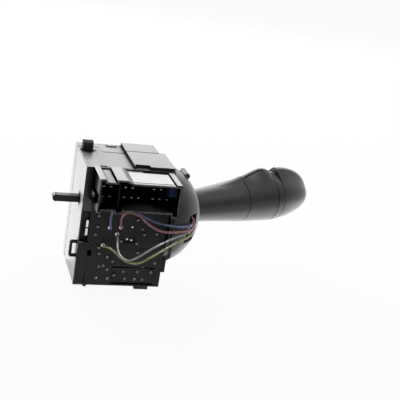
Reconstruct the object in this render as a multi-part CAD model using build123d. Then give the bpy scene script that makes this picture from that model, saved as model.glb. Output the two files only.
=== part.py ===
from build123d import *
import math
import os

# Left-hand steering column switch: a box-shaped switch housing with a two-row connector,
# and a lever for lights and direction indicators that tilts in it on two axes.
# The origin is where the axis of the lever's up and down tilt meets the flat mounting face.
# +X runs out of the column towards the lever's knob, +Y towards the driver, +Z up.
# All sizes are in millimetres and degrees.

os.makedirs("parts", exist_ok=True)

# ---- driving dimensions: housing ----
body_width = 51.3
body_depth = 46.0
body_height = 72.0
pivot_from_right = 7.9
pivot_from_rear = 21.2
pivot_from_bottom = 39.3
wall = 1.8
front_wall = 2.2
plate_thickness = 2.0
seam_gap = 0.25
seam_from_rear = 29.8
seam_step_width = 12.3
seam_step_depth = 8.5
front_inset = 3.5
raised_panel_height = 1.6
raised_panel_left = 27.5
edge_radius = 0.8
boss_hole_radius = 1.5
boss_spacing = 44.0
boss_radius = 3.6
boss_depth = 11.0

# ---- driving dimensions: connector ----
socket_depth = 22.8
socket_left_margin = 3.9
socket_width = 45.6
socket_drop = 17.2
socket_height = 16.6
socket_wall = 1.0
socket_floor = 1.5
socket_rib = 1.6
socket_rounding = 0.9
rib_end = 15.1
rib_flank = 3.4
pin_size = 0.64
pin_width = 1.5
pin_pitch = 4.05
pin_row_gap = 5.8
pin_first = 8.4
pin_row_drop = 12.7
pin_reach = 11.5
divider_column = 1.75

# ---- driving dimensions: lever ----
shroud_radius = 31.4
shroud_wall = 1.6
shroud_edge = 7.0
shroud_gap = 0.4
room_gap = 0.5
collar_wall = 1.6
collar_edge = 2.4
collar_reach = 15.0
lever_lean = 21.56
lever_rise = 1.48
neck_radius = 7.0
core_radius = 5.0
core_bore = 3.2
arm_end = 70.0
ring_length = 23.0
band_length = 5.4
knob_length = 28.4
knob_roundness = 0.985
knob_ridge = 4.2
grip_radius = 15.6
grip_wall = 2.3
ridge_groove = 0.9
joint_gap = 0.45
hub_radius = 7.6
flange_radius = 12.9
board_radius = 9.0
board_thickness = 0.8
ball_radius = 1.5
ball_circle = 11.0
ball_show = 0.9

# ---- driving dimensions: mechanism ----
turn_angle = 11.0
pull_angle = 7.0
ring_angle = 30.0
knob_angle = 60.0
finger_angle = 15.0
running_fit = 0.05
seat_fit = 0.02
pull_pin_radius = 2.0
journal_radius = 3.0
bush_wall = 1.0
crank_radius = 12.0
crank_pin_radius = 1.5
crank_play = 0.08
turn_plunger_radius = 1.7
beam_plunger_radius = 1.5
track_gap = 0.3
finger_length = 15.6
finger_height = 3.9
finger_width = 4.0
finger_rise = 49.1
finger_from_rear = 11.5
finger_pivot_depth = 3.7
finger_barrel = 2.4
finger_pin_radius = 1.0
wire_diameter = 1.3

# ---- places that follow from the sizes ----
right = pivot_from_right
left = right - body_width
bottom = -pivot_from_bottom
top = bottom + body_height
front = 0.0
rear = -body_depth
plate_inside = rear + plate_thickness
front_inside = front - front_wall
front_right = right - front_inset
pivot_y = rear + pivot_from_rear
pivot = Vector(0, pivot_y, 0)
seam = rear + seam_from_rear
panel_left = left + raised_panel_left
rail_right = left + 5.3
mouth = rear - socket_depth
socket_left = left + socket_left_margin
socket_right = socket_left + socket_width
socket_bottom = top - socket_drop
socket_top = socket_bottom + socket_height
room_radius = shroud_radius + room_gap
shroud_inside = shroud_radius - shroud_wall
collar_radius = shroud_inside - shroud_gap
ring_end = arm_end + ring_length
band_end = ring_end + band_length
lever_length = band_end + knob_length
tube_end = lever_length - 8.8
grip_cavity = grip_radius - grip_wall
turn_track_radius = -left - 8.1
tower_left = -turn_track_radius + 9.3
beam_track_radius = -tower_left - 3.0

lean = math.radians(lever_lean)
rise = math.radians(lever_rise)
lever_axis = Vector(math.cos(lean) * math.cos(rise), math.sin(lean) * math.cos(rise), math.sin(rise))
lever_up = (Vector(0, 0, 1) - lever_axis * lever_axis.Z).normalized()
lever_plane = Plane(origin=pivot, x_dir=lever_up.cross(lever_axis), z_dir=lever_axis)


# ---- helpers ----
def span(x0, x1, y0, y1, z0, z1):
    """A block between two corners."""
    middle = Pos((x0 + x1) / 2, (y0 + y1) / 2, (z0 + z1) / 2)
    return middle * Box(abs(x1 - x0), abs(y1 - y0), abs(z1 - z0))


def rounded_span(x0, x1, y0, y1, z0, z1, radius):
    """A block whose edges along Y are rounded."""
    block = span(x0, x1, y0, y1, z0, z1)
    return fillet(block.edges().filter_by(Axis.Y), radius)


def rod_x(x0, x1, y, z, radius):
    """A round bar along X."""
    return Pos((x0 + x1) / 2, y, z) * Rot(0, 90, 0) * Cylinder(radius, abs(x1 - x0))


def rod_y(y0, y1, x, z, radius):
    """A round bar along Y."""
    return Pos(x, (y0 + y1) / 2, z) * Rot(90, 0, 0) * Cylinder(radius, abs(y1 - y0))


def rod_z(z0, z1, x, y, radius):
    """A round bar along Z."""
    return Pos(x, y, (z0 + z1) / 2) * Cylinder(radius, abs(z1 - z0))


def ball(radius):
    """A ball about the lever's pivot point."""
    return Pos(pivot) * Sphere(radius)


def ball_zone(outer, inner, start, end):
    """A ball-shaped skin about the pivot point, between two planes square to X."""
    def at(radius, x):
        return x, math.sqrt(max(radius**2 - x**2, 0))

    outer_end, inner_end = min(end, outer), min(end, inner)
    outer_middle = outer * math.cos((math.acos(start / outer) + math.acos(outer_end / outer)) / 2)
    inner_middle = inner * math.cos((math.acos(start / inner) + math.acos(inner_end / inner)) / 2)
    profile = ThreePointArc(at(outer, start), at(outer, outer_middle), at(outer, outer_end))
    profile += Line(at(outer, outer_end), at(inner, inner_end))
    profile += ThreePointArc(at(inner, inner_end), at(inner, inner_middle), at(inner, start))
    profile += Line(at(inner, start), at(outer, start))
    return Pos(pivot) * revolve(make_face(profile), axis=Axis.X)


def on_lever(station, side=0.0, up=0.0):
    """The place on the lever at a station along its axis."""
    return lever_plane.location * Pos(side, up, station)


def lever_rod(start, end, radius, side=0.0, up=0.0):
    """A round bar along the lever's axis between two stations."""
    return on_lever((start + end) / 2, side, up) * Cylinder(radius, end - start)


def lever_cone(start, end, start_radius, end_radius):
    """A tapered bar along the lever's axis between two stations."""
    return on_lever((start + end) / 2) * Cone(start_radius, end_radius, end - start)


def coil(start, end, radius, wire, turns):
    """A helical spring along Z between two heights."""
    height = end - start - wire
    path = Helix(pitch=height / turns, height=height, radius=radius)
    section = Plane(origin=path @ 0, z_dir=path % 0) * Circle(wire / 2)
    return Pos(0, 0, start + wire / 2) * sweep(section, path=path)


def write(node, *pieces):
    """Writes one node's solids to its own file."""
    solids = [solid for piece in pieces for solid in piece.solids()]
    export_step(solids[0] if len(solids) == 1 else Compound(solids), f"parts/{node}.step")


# ---- the grip's cross-section along the lever ----
def grip_section(station, radius, ridge, nose):
    """A round section with a ridge on top, drawn square to the lever's axis."""
    height = radius + ridge
    climb = height - nose
    slope = math.asin((radius - nose) / climb)
    low = (radius * math.cos(slope), radius * math.sin(slope))
    high = (nose * math.cos(slope), climb + nose * math.sin(slope))
    outline = ThreePointArc(low, (0, -radius), (-low[0], low[1]))
    outline += Line((-low[0], low[1]), (-high[0], high[1]))
    outline += ThreePointArc((-high[0], high[1]), (0, height), high)
    outline += Line(high, low)
    return on_lever(station) * make_face(outline)


def grip(start, end, *sections):
    """A smooth body through sections, each a share of the length, radius, ridge and nose radius."""
    return loft([grip_section(start + (end - start) * share, *sizes) for share, *sizes in sections])


# ---- housing ----
def hollow_body():
    """The closed box of both housing halves, hollow and open to the contact plate."""
    box = span(left, right, plate_inside, front, bottom, top)
    box -= span(front_right, right + 1, seam, front + 1, bottom - 1, top + 1)
    box = fillet(box.edges().filter_by(Axis.Y), edge_radius)
    panel = span(panel_left, right, plate_inside, front, top - 1, top + raised_panel_height)
    panel -= span(front_right, right + 1, seam, front + 1, top - 2, top + raised_panel_height + 1)
    panel -= span(panel_left + 0.4, panel_left + 9.2, plate_inside - 1, plate_inside + 3, top, top + 9)
    box += panel
    room = span(left + wall, right - wall, plate_inside - 1, seam, bottom + wall, top - wall)
    room += span(left + wall, front_right - wall, seam - 1, front_inside, bottom + wall, top - wall)
    box -= room
    return box - (ball(room_radius) & span(0, right + 9, plate_inside, front_inside, bottom - 9, top + 9))


def rear_share(gap):
    """The space that belongs to the rear half, bounded by the stepped seam."""
    step_y = seam + seam_step_depth - gap
    corner = left + seam_step_width
    points = [
        (left - 9, rear - 9),
        (left - 9, step_y),
        (corner, step_y),
        (corner + 1.1, seam - gap),
        (right + 9, seam - gap),
        (right + 9, rear - 9),
    ]
    outline = Polyline(*points, close=True)
    return Pos(0, 0, bottom - 9) * extrude(make_face(outline), body_height + 30)


def side_loop():
    """The D-shaped clip loop that stands out of the left side."""
    low = bottom + 17.0
    high = low + 9.9
    loop = span(left - 4.1, left + 0.6, plate_inside - 1.2, plate_inside + 0.8, low, high)
    loop = fillet(loop.edges().filter_by(Axis.Y).group_by(Axis.X)[0], 1.2)
    return loop - span(left - 2.7, left, plate_inside - 3, plate_inside + 3, low + 1.4, high - 1.4)


def rear_housing():
    """The rear half: left rail with its blade recess, clip loop, and locating lug."""
    shell = hollow_body() & rear_share(seam_gap)
    rail = span(left, rail_right - seat_fit, rear, plate_inside, bottom, top)
    recess_low = bottom + 27.4
    rail -= span(left + 0.8, rail_right + 1, rear - 1, rear + 1.6, recess_low, recess_low + 18.2)
    lug = span(left + 1.9, left + 7.7, seam - 1.0, seam + 4.2, top - wall, top + 5.8)
    lug = chamfer(lug.edges().filter_by(Axis.X).group_by(Axis.Z)[-1], 0.8)
    opening_y = rear + finger_from_rear
    opening_z = bottom + finger_rise
    swing = math.radians(finger_angle)
    reach = finger_pivot_depth * math.tan(swing) + finger_height / 2 / math.cos(swing) + joint_gap
    low, high = opening_z - reach, opening_z + reach
    opening = span(left - 1, left + wall + 1, opening_y - 2.4, opening_y + 2.4, low, high)
    body = shell + rail + lug + side_loop() - opening
    return body - span(left + 7.4, left + 11.9, rear - 1, plate_inside + 1.6, top - 3.2, top + 1)


def screw_places():
    """The two screw holes of the mounting face, one above the other."""
    middle = left + 13.0
    return [(middle, -boss_spacing / 2 - 3.3), (middle, boss_spacing / 2 - 3.3)]


def front_housing():
    """The driver-side half with the mounting face, screw bosses and front bearing boss."""
    shell = hollow_body() - rear_share(0)
    bump = span(left + 18.2, left + 24.0, front - 4.7, front - 2.0, top - wall, top + 0.5)
    bearing = rod_y(front_inside - 6.8, front_inside, 0, 0, journal_radius + bush_wall + 1.5)
    bearing -= rod_y(front_inside - 9, front_inside, 0, 0, journal_radius + bush_wall + seat_fit)
    body = shell + bump + bearing
    for x, z in screw_places():
        body += rod_y(front - boss_depth, front_inside, x, z, boss_radius)
        body -= rod_y(front - boss_depth + 2, front + 1, x, z, boss_hole_radius)
    return body


def shroud_collar():
    """The fixed ball-shaped collar that the lever's dome slides over."""
    ring = ball_zone(collar_radius, collar_radius - collar_wall, collar_edge, collar_reach)
    ring -= span(0, right, rear - 20, plate_inside, -40, 40)
    ring -= span(0, front_right, front_inside, 20, -40, 40)
    return ring - span(0, right, front - 0.1, 20, -40, 40)


# ---- contact plate ----
def ring_groove(x, z, radius):
    """A shallow ring moulded round a post."""
    groove = rod_y(rear - 1, rear + 0.25, x, z, radius)
    return groove - rod_y(rear - 2, rear + 1, x, z, radius - 0.35)


def pin_places():
    """The connector's pins: seven in the upper row and eight in the lower one."""
    upper = [0, 1, 3, 4, 7, 8, 9]
    lower = [0, 1, 3, 4, 5, 7, 8, 9]
    low = top - pin_row_drop
    rows = [[(left + pin_first + pin_pitch * i, low + pin_row_gap) for i in upper]]
    rows.append([(left + pin_first + pin_pitch * i, low) for i in lower])
    return rows


def pin_holes():
    """Holes for the pins through the plate and the connector's floor."""
    half = pin_size / 2 + seat_fit
    side = pin_width / 2 + seat_fit
    places = [place for row in pin_places() for place in row]
    holes = [span(x - side, x + side, rear - 5, plate_inside + 1, z - half, z + half) for x, z in places]
    return Compound([hole.solid() for hole in holes])


ringed_posts = [
    (10.4, 43.4),
    (10.4, 36.7),
    (12.5, 23.8),
    (18.0, 18.1),
    (45.4, 9.2),
    (23.5, 6.8),
    (33.1, 42.0),
]
plain_posts = [
    (9.5, 31.9),
    (13.1, 20.1),
    (21.6, 15.6),
    (13.9, 12.0),
    (16.4, 12.7),
    (18.9, 10.2),
    (28.8, 9.4),
    (37.1, 9.5),
    (13.1, 4.7),
    (19.7, 4.5),
    (30.1, 4.7),
    (36.0, 4.6),
    (40.6, 4.6),
    (46.8, 15.4),
    (36.5, 36.6),
    (24.9, 28.4),
    (38.2, 33.2),
    (45.5, 33.9),
    (34.3, 27.5),
    (35.8, 21.7),
]
wired_joints = [(17.4, 36.6), (23.8, 36.9), (22.0, 32.8), (14.7, 25.6)]
flat_joints = [(30.5, 37.4)]
sunk_joints = [(28.4, 29.6), (31.0, 29.0)]


def from_corner(place):
    """A place given from the housing's lower left corner."""
    return left + place[0], bottom + place[1]


def plate_cuts():
    """Slots, square window, pocket, small holes and post rings of the contact plate."""
    x, z = from_corner((0, 0))
    cuts = span(x + 21.8, x + 47.7, rear - 1, plate_inside + 1, z + 11.1, z + 12.3)
    cuts += span(x + 21.9, x + 47.3, rear - 1, plate_inside + 1, z + 0.8, z + 2.2)
    cuts += span(x + 6.0, x + 8.6, rear - 1, plate_inside + 1, z + 18.2, z + 21.9)
    cuts += span(x + 25.6, x + 33.2, rear - 1, rear + 0.9, z + 27.3, z + 31.6)
    cuts += span(x + 37.4, x + 41.4, rear - 1, rear + 0.4, z + 23.2, z + 24.8)
    cuts += rod_y(rear - 1, plate_inside + 1, x + 8.7, z + 24.9, 0.5)
    for post in ringed_posts:
        cuts += ring_groove(*from_corner(post), 1.9)
    return cuts


def contact_plate():
    """The rear plate that carries the contacts, with guides for the sliding contact."""
    plate = span(rail_right + seat_fit, right, rear, plate_inside - seat_fit, bottom, top)
    tab = span(right - 1, right + 2.2, rear, plate_inside - seat_fit, bottom + 9.6, bottom + 19.2)
    plate += tab - ball(room_radius)
    plate += span(left + 36.4, left + 44.6, rear - 0.6, plate_inside, bottom - 1.6, bottom + 0.4)
    plate += span(left + 6.0, left + 7.9, rear, plate_inside, bottom - 1.0, bottom + 0.4)
    plate += span(left + 6.3, left + 7.1, rear - 0.8, rear + 0.4, bottom, bottom + 9.3)
    plate -= plate_cuts()
    boss_outer = journal_radius + bush_wall + 1.5
    plate += rod_y(plate_inside - 0.5, plate_inside + 4.5, 0, 0, boss_outer)
    plate -= rod_y(plate_inside - 0.02, plate_inside + 6, 0, 0, journal_radius + bush_wall + seat_fit)
    for low, high in ((slider_left - 2.0, slider_left - 0.3), (slider_right + 0.3, slider_right + 1.6)):
        plate += span(low, high, plate_inside - 0.5, plate_inside + 4.5, -10, 10)
    return plate - pin_holes()


def post_head(x, z, radius, height):
    """A domed head on the plate's outer face."""
    head = rod_y(rear - height, rear, x, z, radius)
    return fillet(head.edges().group_by(Axis.Y)[0], height * 0.7)


def heat_stakes():
    """Riveted heads of the contact posts."""
    places = ringed_posts + plain_posts
    return [post_head(*from_corner(place), 1.05, 0.75) for place in places]


def solder_joints():
    """Solder domes, one under each jumper wire and some on the plate's own contacts."""
    wired = [(*from_corner(place), 1.25, 0.9) for place in wired_joints]
    bare = [(*from_corner(place), 0.6, 0.4) for place in flat_joints]
    sunk = [from_corner(place) for place in sunk_joints]
    domes = [post_head(*dome) for dome in wired + bare]
    return domes + [Pos(0, 0.9, 0) * post_head(x, z, 0.7, 0.6) for x, z in sunk]


def blade_cover():
    """The block below the blade recess on the left rail."""
    cover = span(left, rail_right + 0.6, rear - 0.9, rear - seat_fit, bottom + 0.4, bottom + 27.2)
    cover = chamfer(cover.edges().filter_by(Axis.X).group_by(Axis.Z)[-1].group_by(Axis.Y)[0], 0.4)
    return cover - span(left + 1.0, left + 5.8, rear - 2, rear - 0.4, bottom + 1.1, bottom + 5.0)


def side_blades():
    """Two tinned blades in the left rail's recess."""
    low = bottom + 31.1
    blades = []
    for start in (low, low + 5.0):
        blades.append(span(left + 3.5, left + 4.8, rear - 0.3, rear + 1.6, start, start + 4.2))
    return blades


# ---- connector ----
def shroud_blocks(inset):
    """The connector's outline as blocks: main box, keying ribs above and below, and a rib's sloped flank."""
    front_y = mouth - (1 if inset else 0)
    back_y = rear - (socket_floor if inset else 0)
    low = socket_bottom + inset
    high = socket_top - inset
    rounding = socket_rounding - inset * 0.5
    blocks = rounded_span(socket_left + inset, socket_right - inset, front_y, back_y, low, high, rounding)
    for start, end in ((0.0, 3.6), (9.2, rib_end)):
        x0 = socket_left + start + inset
        x1 = socket_left + end - inset
        blocks += rounded_span(x0, x1, front_y, back_y, high - 2, socket_top + socket_rib - inset, rounding)
    foot = socket_left + rib_end
    flank = [
        (foot - 3, high - 1),
        (foot - 3, high + socket_rib),
        (foot - inset * 0.22, high + socket_rib),
        (foot + rib_flank - inset * 0.22, high),
        (foot + rib_flank - inset * 0.22, high - 1),
    ]
    wedge = Rot(90, 0, 0) * extrude(make_face(Polyline(*flank, close=True)), back_y - front_y)
    blocks += Pos(0, back_y, 0) * wedge
    for start, end, drop in ((0.0, 2.4, 1.5), (9.5, 14.3, 1.3), (socket_width - 4.0, socket_width, 2.2)):
        x0 = socket_left + start + inset * 0.7
        x1 = socket_left + end - inset * 0.7
        blocks += rounded_span(x0, x1, front_y, back_y, socket_bottom - drop + inset, low + 2, rounding / 2)
    return blocks


def connector_shroud():
    """The open connector socket with its divider, keys and floor."""
    shroud = shroud_blocks(0) - shroud_blocks(socket_wall)
    rib_x = socket_right - 3.0
    shroud += span(rib_x, socket_right, mouth, rear, socket_top - 0.5, socket_top + 0.7)
    divider_x = left + pin_first + pin_pitch * divider_column
    divider = span(divider_x - 0.3, divider_x + 0.3, mouth + 2.6, rear - 0.5, socket_bottom - 0.5, socket_top)
    key_low = top - pin_row_drop
    key = span(socket_left + 0.5, socket_left + 2.4, mouth + 0.4, rear - 0.5, key_low, key_low + 4.2)
    latch = span(socket_left - 1.3, socket_left + 0.5, rear - 18, rear - 8, key_low - 1.5, key_low + 3.0)
    shroud += divider + key + latch
    gap = span(panel_left + 4, socket_right - 4.0, rear - 3.2, rear + 1, socket_top - 0.6, socket_top + 4)
    return shroud - gap - pin_holes()


def pin_row(places):
    """A row of flat pins with tapered tips."""
    half = pin_size / 2
    side = pin_width / 2
    pins = []
    for x, z in places:
        pin = span(x - side, x + side, rear - pin_reach, plate_inside, z - half, z + half)
        pins.append(chamfer(pin.faces().sort_by(Axis.Y)[0].edges(), 0.18))
    return pins


def connector_keeper():
    """The coloured coding block in the socket's upper right corner."""
    high = socket_top - socket_wall - seat_fit
    side = socket_right - socket_wall - seat_fit
    cap_y = rear - pin_reach - 0.7
    block = span(side - 2.6, side, cap_y - 1, rear - socket_floor - seat_fit, high - 6.4, high)
    block += span(side - 4.9, side, cap_y - 6.6, cap_y, high - 6.7, high)
    return block & rounded_span(side - 9, side, mouth, rear, high - 9, high, socket_rounding)


def socket_label():
    """The bare label on top of the connector."""
    start = socket_left + rib_end + rib_flank + 0.1
    return span(start, socket_right - 4.0, mouth + 2.6, rear - 3.8, socket_top, socket_top + 0.15)


# ---- turning carrier and its parts ----
slider_left = -crank_radius - 8.0
slider_right = -crank_radius + 4.5
carrier_half = 11.0
carrier_window = 8.5
carrier_height = 12.5
turn_tip = -(turn_track_radius - track_gap)
turn_tail = turn_tip + 6.5
beam_tip = -(beam_track_radius - track_gap)
beam_tail = -crank_radius + 1.0


def turn_carrier():
    """The frame that tilts up and down and carries the lever's pull pin."""
    y0, y1 = pivot_y - carrier_half, pivot_y + carrier_half
    inner0, inner1 = pivot_y - carrier_window, pivot_y + carrier_window
    body = span(-9, 4, y0, y1, -carrier_height, carrier_height)
    body -= span(-20, 20, inner0, inner1, -carrier_window, carrier_window)
    body += span(tower_left, -8.5, pivot_y - 5, pivot_y + 5, -carrier_height, -9.5)
    body += span(tower_left, tower_left + 4, pivot_y - 5, pivot_y + 5, -carrier_height, 5)
    body += rod_x(tower_left - 5, tower_left + 2, pivot_y, 0, turn_plunger_radius + 1.5)
    body += span(-15, -8.5, y0, inner0, -3.5, 3.5)
    body += rod_y(y0 - 5.7, inner0, -crank_radius, 0, crank_pin_radius)
    body += rod_y(plate_inside + 0.5, y0 + 1, 0, 0, journal_radius)
    body += rod_y(y1 - 1, front_inside - 1.4, 0, 0, journal_radius)
    body -= rod_x(tower_left - 7, tower_left + 1.4, pivot_y, 0, turn_plunger_radius + running_fit)
    tower_face = span(tower_left + 2, tower_left + 5, y0, y1, -9.4, 20)
    body -= rod_z(-20, 20, 0, pivot_y, beam_track_radius) & tower_face
    notch_x = -beam_track_radius + 1.2
    body -= rod_z(-4, 4, notch_x, pivot_y, 2.0)
    return body - rod_z(-20, 20, 0, pivot_y, pull_pin_radius + seat_fit)


def carrier_bushes():
    """Two plain bushes for the carrier's journals."""
    outer = journal_radius + bush_wall
    inner = journal_radius + running_fit
    rear_bush = rod_y(plate_inside, plate_inside + 4.5, 0, 0, outer)
    rear_bush -= rod_y(plate_inside - 1, plate_inside + 6, 0, 0, inner)
    front_bush = rod_y(front_inside - 6.8, front_inside - 0.6, 0, 0, outer)
    front_bush -= rod_y(front_inside - 9, front_inside, 0, 0, inner)
    return [rear_bush, front_bush]


def pull_pin():
    """The pin that the lever tilts on towards the driver."""
    return rod_z(-carrier_height, carrier_height, 0, pivot_y, pull_pin_radius)


def plunger(tip, tail, radius):
    """A round plunger along X with a domed tip at its left end."""
    body = rod_x(tip, tail, pivot_y, 0, radius)
    return fillet(body.edges().group_by(Axis.X)[0], radius * 0.85)


def spring_x(start, end, radius, wire, turns):
    """A helical spring along X on the plungers' line."""
    return Pos(0, pivot_y, 0) * Rot(0, 90, 0) * coil(start, end, radius, wire, turns)


def detent_cam():
    """The fixed block whose notched track gives the lever its three positions."""
    block = span(left + wall, 0.3 - turn_track_radius, pivot_y - 4, front_inside, -14, 14)
    block -= rod_y(pivot_y - 9, front_inside + 1, 0, 0, turn_track_radius)
    for angle in (-turn_angle, 0, turn_angle):
        turn = math.radians(angle)
        reach = turn_track_radius - 0.6
        x, z = -reach * math.cos(turn), reach * math.sin(turn)
        block -= rod_y(pivot_y - 9, pivot_y + 4, x, z, turn_plunger_radius + 0.4)
    return block


def contact_slider():
    """The insulating slide that the carrier's crank pin moves up and down."""
    body = span(slider_left, slider_right, plate_inside + 0.8, plate_inside + 4.0, -6.5, 6.5)
    play = crank_pin_radius + crank_play
    slot = rod_y(plate_inside + 2.2, plate_inside + 5, -crank_radius, 0, play)
    slot += span(-crank_radius - 0.1, -crank_radius + 0.5, plate_inside + 2.2, plate_inside + 5, -play, play)
    slot += rod_y(plate_inside + 2.2, plate_inside + 5, -crank_radius + 0.5, 0, play)
    return body - slot


def slider_contacts():
    """Bridge contacts on the slide's plate side."""
    face = plate_inside + 0.8
    xs = (slider_left + 1.4, slider_left + 5.2, slider_left + 9.0)
    return [span(x, x + 2.2, face - 0.25, face, -4.5, 4.5) for x in xs]


def contact_strips():
    """Stamped strips on the inside of the contact plate."""
    xs = (slider_left + 1.2, slider_left + 5.0, slider_left + 8.8)
    return [span(x, x + 2.6, plate_inside - seat_fit, plate_inside + 0.2, -9.5, 9.5) for x in xs]


# ---- lever ----
def lever_pose(turn, pull, solid):
    """A fixed solid as the lever meets it at a tilt and pull angle."""
    undo = Pos(pivot) * Rot(0, 0, -pull) * Rot(0, -turn, 0) * Pos(-pivot)
    return undo * solid


def wire_slot():
    """The opening in the shroud's near side that lets the wires in."""
    outline = Polyline((20.0, 7.6), (25.5, 7.6), (25.5, -10.0), (18.0, -10.0), close=True)
    slot = Pos(0, pivot_y - 13, 0) * Rot(90, 0, 0) * extrude(make_face(outline), 20)
    return slot


def dome_shroud():
    """The lever's ball-shaped shroud with its wire slot, cut back from the housing's corners."""
    shell = ball_zone(shroud_radius, shroud_inside, shroud_edge, shroud_radius)
    peg = rod_y(pivot_y - 3.0, pivot_y + 7.6, 20.4, 24.9, 1.8)
    shell += peg - ball(shroud_inside + 0.4)
    shell -= lever_rod(20, 40, neck_radius + seat_fit)
    shell -= wire_slot()
    back = span(left, right + room_gap, mouth - 9, plate_inside + room_gap, bottom - 20, top + 20)
    face = span(left, front_right + room_gap, front_inside - room_gap, 60, bottom - 20, top + 20)
    for turn in (-turn_angle, 0, turn_angle):
        for pull in (0, pull_angle):
            shell -= lever_pose(turn, pull, back)
            shell -= lever_pose(turn, pull, face)
    return shell


def lever_arm():
    """The arm: eye for the pull pin, neck, and hollow tapering grip."""
    grip_start = shroud_radius - 3.4
    outer = grip(
        grip_start,
        arm_end,
        (0.0, grip_radius - 5.8, 0.1, 6.4),
        (0.25, grip_radius - 5.3, 0.1, 6.6),
        (0.57, grip_radius - 4.0, 0.1, 6.4),
        (0.81, grip_radius - 2.8, 0.8, 5.2),
        (1.0, grip_radius - 1.9, 2.2, 4.4),
    )
    outer -= ball(shroud_radius)
    outer -= lever_cone(37, arm_end + 0.01, 7.0, 11.6)
    arm = outer + lever_rod(36, arm_end - 0.4, core_radius + 1.6)
    arm += lever_rod(9.5, 38, neck_radius)
    arm += span(-7, 11, pivot_y - 6, pivot_y + 6, -8, 8)
    arm += rod_x(-15, -6, pivot_y, 0, beam_plunger_radius + 1.5)
    arm -= lever_rod(12, arm_end + 5, core_radius + seat_fit)
    arm -= rod_x(-16, -6, pivot_y, 0, beam_plunger_radius + running_fit)
    return arm - rod_z(-20, 20, 0, pivot_y, pull_pin_radius + running_fit)


def core_tube():
    """The fixed tube that the ring and knob turn on and the wires run in."""
    tube = lever_rod(20, tube_end, core_radius)
    tube -= lever_rod(19, tube_end + 1, core_bore)
    groove = lever_rod(tube_end - 1.6, tube_end - 0.6, core_radius + 1)
    groove -= lever_rod(tube_end - 2, tube_end, core_radius - 0.5)
    return tube - groove


def retaining_clip():
    """The clip in the tube's groove that keeps the knob on."""
    clip = lever_rod(tube_end - 1.55, tube_end - 0.65, core_radius + 1.4)
    clip -= lever_rod(tube_end - 2, tube_end, core_radius - 0.45)
    return clip - on_lever(tube_end - 1.1, 6.0) * Box(6, 2.4, 3)


def ball_track(centre):
    """The ring-shaped groove that a detent ball runs in."""
    return on_lever(centre) * Torus(ball_circle, ball_radius + joint_gap)


def detent_dimples(centre, side, angles):
    """Deeper seats for the detent ball at each of the switch's positions."""
    seats = []
    for angle in angles:
        turn = math.radians(angle)
        place = on_lever(centre, side * ball_circle * math.cos(turn), side * ball_circle * math.sin(turn))
        seats.append((place * Sphere(ball_radius + joint_gap + 0.25)).solid())
    return Compound(seats)


def pointer_line(start, end, low, high):
    """A fine groove along the ridge's near side, between two heights over the axis."""
    place = on_lever((start + end) / 2, -1.4, (low + high) / 2)
    climb = math.degrees(math.atan2(high - low, end - start))
    return place * Rot(-climb, 0, 0) * Box(ridge_groove, 2.2, math.hypot(high - low, end - start))


def fog_ring():
    """The turning ring for the fog lamps, with its ridge."""
    start = arm_end + joint_gap
    body = grip(
        start,
        ring_end,
        (0.0, grip_radius - 1.9, 2.2, 4.4),
        (0.45, grip_radius - 1.0, 4.5, 3.8),
        (0.71, grip_radius - 0.5, 5.2, 3.6),
        (1.0, grip_radius, 2.7, 4.0),
    )
    body -= lever_cone(start + 2.5, ring_end + 0.01, 11.6, grip_cavity)
    body -= pointer_line(start + 1, ring_end - 6, grip_radius + 0.5, grip_radius + 4.9)
    flange_face = ring_end + joint_gap - 0.6
    body += lever_rod(start, flange_face, hub_radius)
    body += lever_rod(flange_face - 1.8, flange_face, flange_radius - 0.1)
    track = ring_end + joint_gap - ball_show + ball_radius
    body -= ball_track(track) + detent_dimples(track, -1, (0, -ring_angle))
    return body - lever_rod(start - 1, ring_end + 1, core_radius + running_fit)


def index_band():
    """The fixed band between ring and knob, with pockets for both detent balls."""
    start = ring_end + joint_gap
    band = grip(start, band_end, (0.0, grip_radius, 1.8, 4.0), (1.0, grip_radius, 1.4, 4.2))
    band -= lever_rod(start - 1, start + board_thickness, board_radius + seat_fit)
    band -= lever_rod(band_end - board_thickness, band_end + 1, board_radius + seat_fit)
    pocket = ball_radius + running_fit
    band -= lever_rod(start - 1, start + 4.4, pocket, side=-ball_circle)
    band -= lever_rod(band_end - 4.4, band_end + 1, pocket, side=ball_circle)
    return band - lever_rod(start - 1, band_end + 1, core_radius + seat_fit)


def stalk_board(start):
    """A round contact board set in the band's face."""
    board = lever_rod(start, start + board_thickness, board_radius)
    return board - lever_rod(start - 1, start + 2, core_radius + seat_fit)


def wiper(start, end):
    """A curved spring contact on a turning hub's flange."""
    arc = lever_rod(start, end, 8.6) - lever_rod(start - 1, end + 1, 6.9)
    return arc & (on_lever((start + end) / 2, -6, 0) * Box(12, 12, 4))


def knob_sections(count):
    """The knob's sections, closer together where it rounds off towards its end."""
    sections = []
    for step in range(count):
        share = math.sin(math.pi / 2 * step / (count - 1))
        along = share * knob_roundness
        radius = (grip_radius - 0.1) * (1 - along**1.4) ** (1 / 3)
        height = (grip_radius + knob_ridge) * (1 - along**2) ** (1 / 2.4)
        sections.append((share, radius, height - radius, radius * (0.245 + 0.45 * along**2)))
    return sections


def light_knob():
    """The turning end knob for the lamps."""
    start = band_end + joint_gap
    body = grip(start, lever_length, *knob_sections(9))
    body = fillet(body.faces().sort_by(Axis.X)[-1].edges(), 1.4)
    body -= lever_rod(start - 1, band_end + 4.6, grip_cavity)
    body -= lever_cone(band_end + 4.59, tube_end + 3.0, grip_cavity, 8.4)
    flange_face = band_end + 0.6
    body += lever_rod(flange_face, tube_end + 4.0, hub_radius)
    body += lever_rod(flange_face, flange_face + 1.8, flange_radius)
    track = band_end + ball_show - ball_radius
    body -= ball_track(track) + detent_dimples(track, 1, (0, -knob_angle / 2, -knob_angle))
    body -= lever_rod(tube_end - 1.9, tube_end + 2.0, 6.8)
    return body - lever_rod(start - 1, tube_end + 0.5, core_radius + running_fit)


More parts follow.
